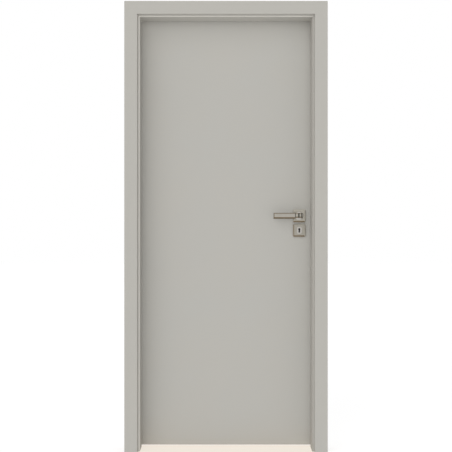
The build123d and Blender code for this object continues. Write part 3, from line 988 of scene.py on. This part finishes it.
@dataclass
class HandleSet:
    """Lever, rosette and key escutcheon of one side of the door."""

    side: Side
    # How far trim is sunk into what carries it.
    sink: float = 0.3 * MM
    plate_corner: float = 5 * MM
    plate_bevel: float = 6 * MM
    plate_fall: float = 0.8 * MM
    plate_edge: float = 0.4 * MM
    plate_thickness: float = 9 * MM
    plate_rim: float = 3 * MM
    plate_slope: float = 7 * MM
    plate_dish: float = 0.3 * MM
    least_corner: float = 1.5 * MM
    collar_radius: float = 20 * MM
    collar_bore: float = 10.3 * MM
    collar_edge: float = 0.9 * MM
    collar_fall: float = 1.6 * MM
    lever_thickness: float = 10 * MM
    lever_edge: float = 1.2 * MM
    # Edges of the grip that turn by more than this are rounded.
    lever_turn: float = math.radians(40)
    lower_bevel: float = 6 * MM
    upper_bevel: float = 3.5 * MM
    root_edge: float = 1.2 * MM
    root_drop: float = 4 * MM
    root_inset: float = 0.3 * MM
    root_overlap: float = 2 * MM
    outer_bend: float = 6 * MM
    inner_bend: float = 9 * MM
    neck_width: float = 22 * MM
    neck_depth: float = 38 * MM
    neck_radius: float = 10 * MM
    neck_segments: int = 40
    groove_depth: float = 2.5 * MM
    # Left ends and widths of the root's grooves, measured back from the lever's end over the neck.
    grooves: tuple[tuple[float, float], ...] = (
        (-35 * MM, 3.5 * MM), (-20.5 * MM, 7 * MM), (-7 * MM, 3.5 * MM)
    )
    band_sink: float = 0.7 * MM
    band_gap: float = 0.05 * MM
    band_edge: float = 0.25 * MM
    key_round: float = 5 * MM
    key_slot_half: float = 3.5 * MM
    key_height: float = 21 * MM
    field_size: tuple[float, float] = (24 * MM, 34 * MM)
    field_corner: float = 8 * MM
    field_rise: float = 0.5 * MM
    field_edge: float = 0.2 * MM
    screw: SocketScrew = SocketScrew(
        radius=2.2 * MM, socket_radius=1.2 * MM, socket_depth=0.5 * MM, rim_height=0.6 * MM
    )

    def box(self, fitting: str) -> tuple[Vector, Vector]:
        """Low and high corner of one of this side's CAD fittings."""
        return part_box(f"{self.side.prefix}_{fitting}")

    def faces_of(self, fitting: str) -> tuple[float, float]:
        """Y of a fitting's root against the leaf and of its face towards the room."""
        low, high = self.box(fitting)
        return (high.y, low.y) if self.side is Side.PUSH else (low.y, high.y)

    def bar(self, mesh: BMesh) -> None:
        """Add the grip: a flat bar with bevels along its front edges, the lower one widest.

        Args:
            mesh: The shape that gets it, empty so far.
        """
        low, high = self.box("lever")
        face = self.faces_of("lever")[1]
        end = high.x + self.grooves[0][0]
        middle = face - self.side.value * self.lever_thickness / 2
        add_box(
            mesh, Vector(((low.x + end) / 2, middle, (low.z + high.z) / 2)),
            (end - low.x, self.lever_thickness, high.z - low.z),
        )
        round_edges(
            mesh, self.lower_bevel, segments=1,
            chosen=lambda edge: all(abs(v.co.y - face) + abs(v.co.z - low.z) < TOUCH for v in edge.verts),
        )
        round_edges(
            mesh, self.upper_bevel, segments=1,
            chosen=lambda edge: all(
                abs(v.co.y - face) + min(abs(v.co.z - high.z), abs(v.co.x - low.x)) < TOUCH
                for v in edge.verts
            ),
        )
        round_edges(
            mesh, self.lever_edge, segments=4,
            chosen=lambda edge: edge.calc_face_angle() > self.lever_turn
            and any(v.co.x < end - TOUCH for v in edge.verts),
        )

    def root_outline(self) -> list[Vector]:
        """Plan of the root and the neck at the root's underside, with the grooves in its face.

        Returns:
            Corner points in order, the outer bend fifth and the inner bend second from the end.
        """
        low, high = self.box("lever")
        face = self.faces_of("lever")[1]
        start = high.x + self.grooves[0][0] - self.root_overlap
        back = self.lever_thickness - self.root_inset
        points = [(start, self.groove_depth)]
        for left, width in self.grooves:
            points += [
                (high.x + left, 0.0), (high.x + left, self.groove_depth),
                (high.x + left + width, self.groove_depth), (high.x + left + width, 0.0),
            ]
        # The first groove runs on to the left under the grip, so it has no left wall.
        del points[1:3]
        points += [
            (high.x, 0.0), (high.x, self.neck_depth), (high.x - self.neck_width, self.neck_depth),
            (high.x - self.neck_width, back), (start, back),
        ]
        foot = low.z + self.root_drop
        return [Vector((x, face - self.side.value * depth, foot)) for x, depth in points]

    def lever(self) -> BMesh:
        """Lever with its grip, grooved root and neck.

        Returns:
            The shape, in its place.
        """
        low, high = self.box("lever")
        mesh = bmesh.new()
        self.bar(mesh)
        grip = set(mesh.edges)
        corners = [mesh.verts.new(point) for point in self.root_outline()]
        mesh.faces.new(corners)
        round_corner(mesh, [corners[-5]], self.outer_bend, segments=6)
        round_corner(mesh, [corners[-2]], self.inner_bend, segments=8)
        plan = next(face for face in mesh.faces if not grip.intersection(face.edges))
        height = high.z - low.z - self.root_drop - self.root_inset
        thicken(mesh, [plan], Vector((0, 0, height)))
        bmesh.ops.recalc_face_normals(mesh, faces=mesh.faces)
        round_edges(
            mesh, self.root_edge, segments=3,
            chosen=lambda edge: edge not in grip
            and abs(edge.verts[0].co.z - edge.verts[1].co.z) < TOUCH
            and any(abs(face.normal.z) > FACING for face in edge.link_faces),
        )
        end, face = self.faces_of("lever")
        foot = face - self.side.value * self.neck_depth
        centre = Vector((high.x - self.neck_width / 2, (foot + end) / 2, (low.z + high.z) / 2))
        bmesh.ops.create_cone(
            mesh, cap_ends=True, segments=self.neck_segments, radius1=self.neck_radius,
            radius2=self.neck_radius, depth=abs(end - foot), matrix=across(centre),
        )
        return mesh

    def bands(self) -> BMesh:
        """Dark bands that lie in the root's grooves: painted reflection and painted shade.

        Returns:
            The shape, in its place.
        """
        low, high = self.box("lever")
        foot = low.z + self.root_drop + self.root_edge / 2
        head = high.z - self.root_inset - self.root_edge / 2
        depth = self.groove_depth - self.band_sink + self.sink
        middle = self.faces_of("lever")[1] - self.side.value * (self.band_sink + depth / 2)
        mesh = bmesh.new()
        for left, width in self.grooves:
            centre = Vector((high.x + left + width / 2, middle, (foot + head) / 2))
            add_box(mesh, centre, (width - 2 * self.band_gap, depth, head - foot))
        round_edges(mesh, self.band_edge, segments=2, chosen=lambda edge: True)
        return mesh

    def lever_screw(self) -> BMesh:
        """Grub screw under the neck.

        Returns:
            The shape, in its place.
        """
        low, high = self.box("lever")
        place = Vector((high.x - self.neck_width / 2, (low.y + high.y) / 2, low.z + self.root_drop))
        return self.screw.build(place, Direction.DOWN)

    def outline(
        self, mesh: BMesh, centre: Vector, half: tuple[float, float], corner: float, y: float
    ) -> list[BMVert]:
        """Add a rounded rectangle across the door.

        Args:
            mesh: The shape that gets it.
            centre: Middle of the plate.
            half: Half its width and half its height.
            corner: Radius of its corners.
            y: Depth at which it lies.

        Returns:
            The outline's corners in order, which is the same for all outlines.
        """
        others = set(mesh.verts)
        corners = [
            mesh.verts.new(Vector((centre.x + x * half[0], y, centre.z + z * half[1])))
            for x, z in ((-1, -1), (1, -1), (1, 1), (-1, 1))
        ]
        mesh.faces.new(corners)
        round_corner(mesh, corners, corner, segments=6)
        flat = next(face for face in mesh.faces if not others.intersection(face.verts))
        loop = list(flat.verts)
        bmesh.ops.delete(mesh, geom=[flat], context="FACES_ONLY")
        return loop

    def pierced(
        self, centre: Vector, size: tuple[float, float], corner: float, levels: Levels, add_hole: HoleMaker
    ) -> BMesh:
        """Plate with rounded corners and a hole, as a stack of outlines set in from its edge.

        Args:
            centre: Middle of the plate.
            size: Width and height.
            corner: Radius of the outer corners.
            levels: Inset and Y of each outline, from the back to the front.
            add_hole: Adds the hole's outline.

        Returns:
            The shape, in its place.
        """
        mesh = bmesh.new()
        stack = []
        for inset, y in levels:
            half = (size[0] / 2 - inset, size[1] / 2 - inset)
            stack.append(self.outline(mesh, centre, half, max(corner - inset, self.least_corner), y))
        for back, front in zip(stack, stack[1:]):
            for i, vert in enumerate(back):
                mesh.faces.new((back[i - 1], vert, front[i], front[i - 1]))
        holes = []
        for rim, (_, y) in ((stack[0], levels[0]), (stack[-1], levels[-1])):
            hole = add_hole(mesh, centre, y)
            edges = [mesh.edges.get((rim[i - 1], vert)) for i, vert in enumerate(rim)]
            bmesh.ops.triangle_fill(mesh, use_beauty=True, edges=[*edges, *hole])
            holes += hole
        bmesh.ops.bridge_loops(mesh, edges=holes)
        return mesh

    def bevelled(self, root: float) -> Levels:
        """Levels of a plate's back, sides, bevel and the start of its face.

        Args:
            root: Y of the plate's back.

        Returns:
            Inset and Y of each outline.
        """
        out = self.side.value
        face = root + out * self.plate_thickness
        fall, edge = out * self.plate_fall, out * self.plate_edge
        return [
            (0.0, root), (0.0, face - fall - 2 * edge), (self.plate_edge / 2, face - fall - edge / 2),
            (2 * self.plate_edge, face - fall), (self.plate_bevel - self.plate_edge, face - edge / 4),
            (self.plate_bevel, face), (self.plate_bevel + self.plate_edge, face),
        ]

    def neck_hole(self, mesh: BMesh, centre: Vector, y: float) -> list[BMEdge]:
        """Add the outline of the bore that the lever's neck turns in.

        Args:
            mesh: The shape that gets it.
            centre: Middle of the plate.
            y: Depth of the outline.

        Returns:
            The outline's edges.
        """
        others = set(mesh.edges)
        bmesh.ops.create_circle(
            mesh, cap_ends=False, radius=self.collar_bore, segments=self.neck_segments,
            matrix=across(Vector((centre.x, y, centre.z))),
        )
        return [edge for edge in mesh.edges if edge not in others]

    def keyhole(self, mesh: BMesh, centre: Vector, y: float) -> list[BMEdge]:
        """Add the keyhole's outline: a round top over a narrower slot.

        Args:
            mesh: The shape that gets it.
            centre: Middle of the plate.
            y: Depth of the outline.

        Returns:
            The outline's edges.
        """
        others = set(mesh.verts)
        round_z = centre.z + self.key_height / 2 - self.key_round
        hole = bmesh.ops.create_circle(
            mesh, cap_ends=False, radius=self.key_round, segments=24,
            matrix=across(Vector((centre.x, y, round_z))),
        )["verts"]
        drop = math.sqrt(self.key_round ** 2 - self.key_slot_half ** 2)
        below = [vert for vert in hole if vert.co.z < round_z - drop - TOUCH]
        bmesh.ops.delete(mesh, geom=below, context="VERTS")
        ends = [vert for vert in mesh.verts if vert not in others and len(vert.link_edges) == 1]
        for vert in ends:
            vert.co.x = centre.x + math.copysign(self.key_slot_half, vert.co.x - centre.x)
        grown = bmesh.ops.extrude_vert_indiv(mesh, verts=ends)["verts"]
        for vert in grown:
            vert.co.z = centre.z - self.key_height / 2
        mesh.edges.new(grown)
        return [edge for edge in mesh.edges if not others.intersection(edge.verts)]

    def rosette(self) -> BMesh:
        """Square rosette with bevelled edges and a bore for the lever's neck.

        Returns:
            The shape, in its place.
        """
        low, high = self.box("rosette")
        levels = self.bevelled(self.faces_of("rosette")[0])
        size = (high.x - low.x, high.z - low.z)
        return self.pierced((low + high) / 2, size, self.plate_corner, levels, self.neck_hole)

    def collar(self) -> BMesh:
        """Round collar on the rosette with a low coned face, spun from its section.

        Returns:
            The shape, in its place.
        """
        low, high = self.box("rosette")
        root, crown = self.faces_of("rosette")
        centre, out = (low + high) / 2, self.side.value
        seat = root + out * (self.plate_thickness - self.sink)
        section = [
            (self.collar_bore, seat), (self.collar_radius, seat),
            (self.collar_radius, crown - out * (self.collar_fall + self.collar_edge / 2)),
            (self.collar_radius - self.collar_edge, crown - out * self.collar_fall),
            (self.collar_bore, crown),
        ]
        corners = [Vector((centre.x + radius, y, centre.z)) for radius, y in section]
        return spun(corners, centre, Direction.BACK, steps=64)

    def escutcheon(self) -> BMesh:
        """Square key plate with bevelled edges and a shallow dish round its keyhole.

        Returns:
            The shape, in its place.
        """
        low, high = self.box("escutcheon")
        root, face = self.faces_of("escutcheon")
        rim = self.plate_bevel + self.plate_rim
        dish = (rim + self.plate_slope, face - self.side.value * self.plate_dish)
        levels = [*self.bevelled(root), (rim, face), dish]
        size = (high.x - low.x, high.z - low.z)
        return self.pierced((low + high) / 2, size, self.plate_corner, levels, self.keyhole)

    def key_field(self) -> BMesh:
        """Light field that lies in the key plate's dish.

        Returns:
            The shape, in its place.
        """
        low, high = self.box("escutcheon")
        out = self.side.value
        floor = self.faces_of("escutcheon")[1] - out * self.plate_dish
        top = floor + out * self.field_rise
        levels = [
            (0.0, floor - out * self.sink), (0.0, top - out * self.field_edge), (self.field_edge, top)
        ]
        return self.pierced((low + high) / 2, self.field_size, self.field_corner, levels, self.keyhole)

    def build(
        self, nickel: Material, rosettes: Material, plates: Material, bright: Material, dark: Material
    ) -> None:
        """Model this side's fittings.

        Args:
            nickel: Finish brushed along the lever.
            rosettes: The same finish brushed upright, painted a little paler to offset the lever's shade.
            plates: The same finish on the key escutcheons.
            bright: Lighter finish of the collar and of the field round the keyhole.
            dark: Dark finish of the bands in the root's grooves, painted reflection and shade.
        """
        prefix = self.side.prefix
        lever, rosette, escutcheon = (f"{prefix}_{name}" for name in ("lever", "rosette", "escutcheon"))
        for mesh, name, material, body, stands_for in (
            (self.lever(), f"{lever}_rounded", nickel, Body.HANDLE, (lever,)),
            (self.bands(), f"{lever}_bands", dark, Body.HANDLE, ()),
            (self.rosette(), f"{rosette}_rounded", rosettes, Body.LEAF, (rosette,)),
            (self.collar(), f"{rosette}_collar", bright, Body.LEAF, ()),
            (self.escutcheon(), f"{escutcheon}_rounded", plates, Body.LEAF, (escutcheon,)),
            (self.key_field(), f"{prefix}_key_field", bright, Body.LEAF, ()),
            (self.lever_screw(), f"{lever}_screw", nickel, Body.HANDLE, ()),
        ):
            finish_piece(mesh, name, material, body, stands_for)


@dataclass(frozen=True)
class Lamp:
    """A soft, distant lamp that metal doesn't mirror. Its spread is in degrees."""

    name: str
    comes_from: tuple[float, float, float]
    spread: float
    strength: float

    def build(self) -> None:
        """Hang the lamp."""
        light = bpy.data.lights.new(self.name, "SUN")
        light.energy = self.strength
        light.angle = math.radians(self.spread)
        lamp = bpy.data.objects.new(self.name, light)
        lamp.rotation_mode = "QUATERNION"
        lamp.rotation_quaternion = Vector(self.comes_from).to_track_quat("Z", "Y")
        lamp.visible_glossy = False
        bpy.context.scene.collection.objects.link(lamp)


@dataclass
class Studio:
    """White surroundings, soft lamps and the camera."""

    camera_place: tuple[float, float, float] = (441 * MM, -4178 * MM, 1053.7 * MM)
    # Half of the width that the camera sees at the casings' front, and how far away that is.
    half_width: float = 1050.2 * MM
    distance: float = 4080 * MM
    sensor: float = 36.0
    floor_size: float = 40.0
    floor_drop: float = 0.2 * MM
    # How far the doorway's floor reaches under the casings.
    casing_lap: float = 7 * MM
    sky_strength: float = 0.4
    lamps: tuple[Lamp, ...] = (
        Lamp("key_lamp", (-0.5, -1.0, 0.62), spread=48, strength=0.68),
        Lamp("front_fill", (0.0, -1.0, 0.0), spread=36, strength=0.81),
        Lamp("rear_key", (0.35, 1.0, 0.1), spread=80, strength=0.7),
        Lamp("rear_fill", (0.0, 1.0, 0.0), spread=50, strength=0.9),
    )

    def floor(self, name: str, low: Vector, high: Vector, finish: StageFloor) -> None:
        """Add a flat stage floor.

        Args:
            name: The object's name.
            low: One corner.
            high: The opposite corner, at the same height.
            finish: Its material.
        """
        mesh = bmesh.new()
        centre, size = (low + high) / 2, high - low
        bmesh.ops.create_grid(
            mesh, x_segments=1, y_segments=1, size=0.5,
            matrix=Matrix.Translation(centre) @ Matrix.Diagonal((size.x, size.y, 1.0, 1.0)),
        )
        data = bpy.data.meshes.new(name)
        mesh.to_mesh(data)
        mesh.free()
        data.materials.append(finish.build())
        plane = bpy.data.objects.new(name, data)
        bpy.context.scene.collection.objects.link(plane)

    def surroundings(self) -> None:
        """White sky: dim where it lights dull surfaces, full where the camera, metal or glass sees it."""
        world = bpy.data.worlds.new("white_surroundings")
        bpy.context.scene.world = world
        world.use_nodes = True
        tree = world.node_tree
        tree.nodes.clear()
        ray = add_node(tree, "ShaderNodeLightPath")
        direct = ray.outputs["Is Camera Ray"]
        for name in ("Is Glossy Ray", "Is Transmission Ray"):
            direct = add_node(
                tree, "ShaderNodeMath", {"operation": "ADD", "use_clamp": True},
                {0: direct, 1: ray.outputs[name]},
            ).outputs[0]
        dim, full = (
            add_node(tree, "ShaderNodeBackground", inputs={"Color": linear("FFFFFF"), "Strength": strength})
            for strength in (self.sky_strength, 1.0)
        )
        both = add_node(
            tree, "ShaderNodeMixShader",
            inputs={0: direct, 1: dim.outputs["Background"], 2: full.outputs["Background"]},
        )
        add_node(tree, "ShaderNodeOutputWorld", inputs={"Surface": both.outputs["Shader"]})

    def camera(self) -> None:
        """Stand the camera square to the door, as the photograph was taken."""
        data = bpy.data.cameras.new("camera")
        data.sensor_width = self.sensor
        data.lens = self.sensor / 2 * self.distance / self.half_width
        camera = bpy.data.objects.new("camera", data)
        camera.location = self.camera_place
        camera.rotation_euler = (math.pi / 2, 0, 0)
        bpy.context.scene.collection.objects.link(camera)
        bpy.context.scene.camera = camera

    def build(self) -> None:
        """Set up the whole stage."""
        half, drop = self.floor_size / 2, self.floor_drop
        self.floor(
            "white_floor", Vector((-half, -half, -drop)), Vector((half, half, -drop)),
            StageFloor("white_floor", colour="FFFFFF", dullness=0.4, glow=0.79),
        )
        casing_low, casing_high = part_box("hinge_front_casing")
        left = casing_high.x - self.casing_lap
        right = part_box("lock_front_casing")[0].x + self.casing_lap
        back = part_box("hinge_back_casing")[1].y
        self.floor(
            "doorway_floor", Vector((left, casing_low.y, -drop / 2)), Vector((right, back, -drop / 2)),
            StageFloor("cream_floor", colour="EFE7DC", dullness=0.3, glow=0.85),
        )
        self.surroundings()
        for lamp in self.lamps:
            lamp.build()
        self.camera()
        bpy.context.scene.view_settings.view_transform = "Standard"


def main() -> None:
    """Dress the frame, add the fittings and set the stage."""
    logging.basicConfig(level=logging.INFO, format="%(name)s: %(message)s")
    # Painted highlight on the shallow edges that look right.
    painted_highlight = EdgeTone(Direction.RIGHT, "D0CBC0", steepest=0.5)
    # Warm brown painted shade and painted reflection on edges that look down, up and left.
    below, above, aside = (
        EdgeTone(looks, "7A6B56", share)
        for looks, share in ((Direction.DOWN, 1.0), (Direction.UP, 0.6), (Direction.LEFT, 0.6))
    )
    nickel = PlatedMetal(
        "satin_nickel_lever", "AFABA3", "A6A197", (0.3, 0.42), Direction.RIGHT, edges=(below, above, aside)
    ).build()
    # The rosettes' paler colour is painted light that offsets the lever's shade.
    rosettes = PlatedMetal(
        "satin_nickel_rosette", "B3AFA4", "ABA69A", (0.32, 0.44), Direction.UP, edges=(below, painted_highlight)
    ).build()
    plates = PlatedMetal(
        "satin_nickel_plate", "A8A49A", "A09B90", (0.32, 0.44), Direction.UP, edges=(below, aside, painted_highlight)
    ).build()
    bright, dark, hinge, steel, blued = (
        PlatedMetal(name, colour, worn, roughness, Direction.UP).build()
        for name, colour, worn, roughness in (
            ("satin_nickel_field", "BAB7B1", "B2AEA8", (0.26, 0.36)),
            # Dark bands in the lever's grooves: painted reflection and painted shade.
            ("painted_reflection_band", "55554B", "4A4A42", (0.3, 0.4)),
            ("satin_nickel_hinge", "B3AFA6", "A7A297", (0.28, 0.4)),
            ("zinc_plated_steel", "B9B9B6", "ACACA8", (0.34, 0.46)),
            ("blued_steel", "3C3D3F", "333334", (0.4, 0.5)),
        )
    )
    door_frame = DoorFrame()
    door_frame.dress()
    door_frame.build(steel)
    HingeSet().build(hinge)
    Leaf().dress()
    LockSet().build(steel, blued)
    for side in Side:
        HandleSet(side).build(nickel, rosettes, plates, bright, dark)
    Studio().build()


if __name__ == "__main__":
    main()
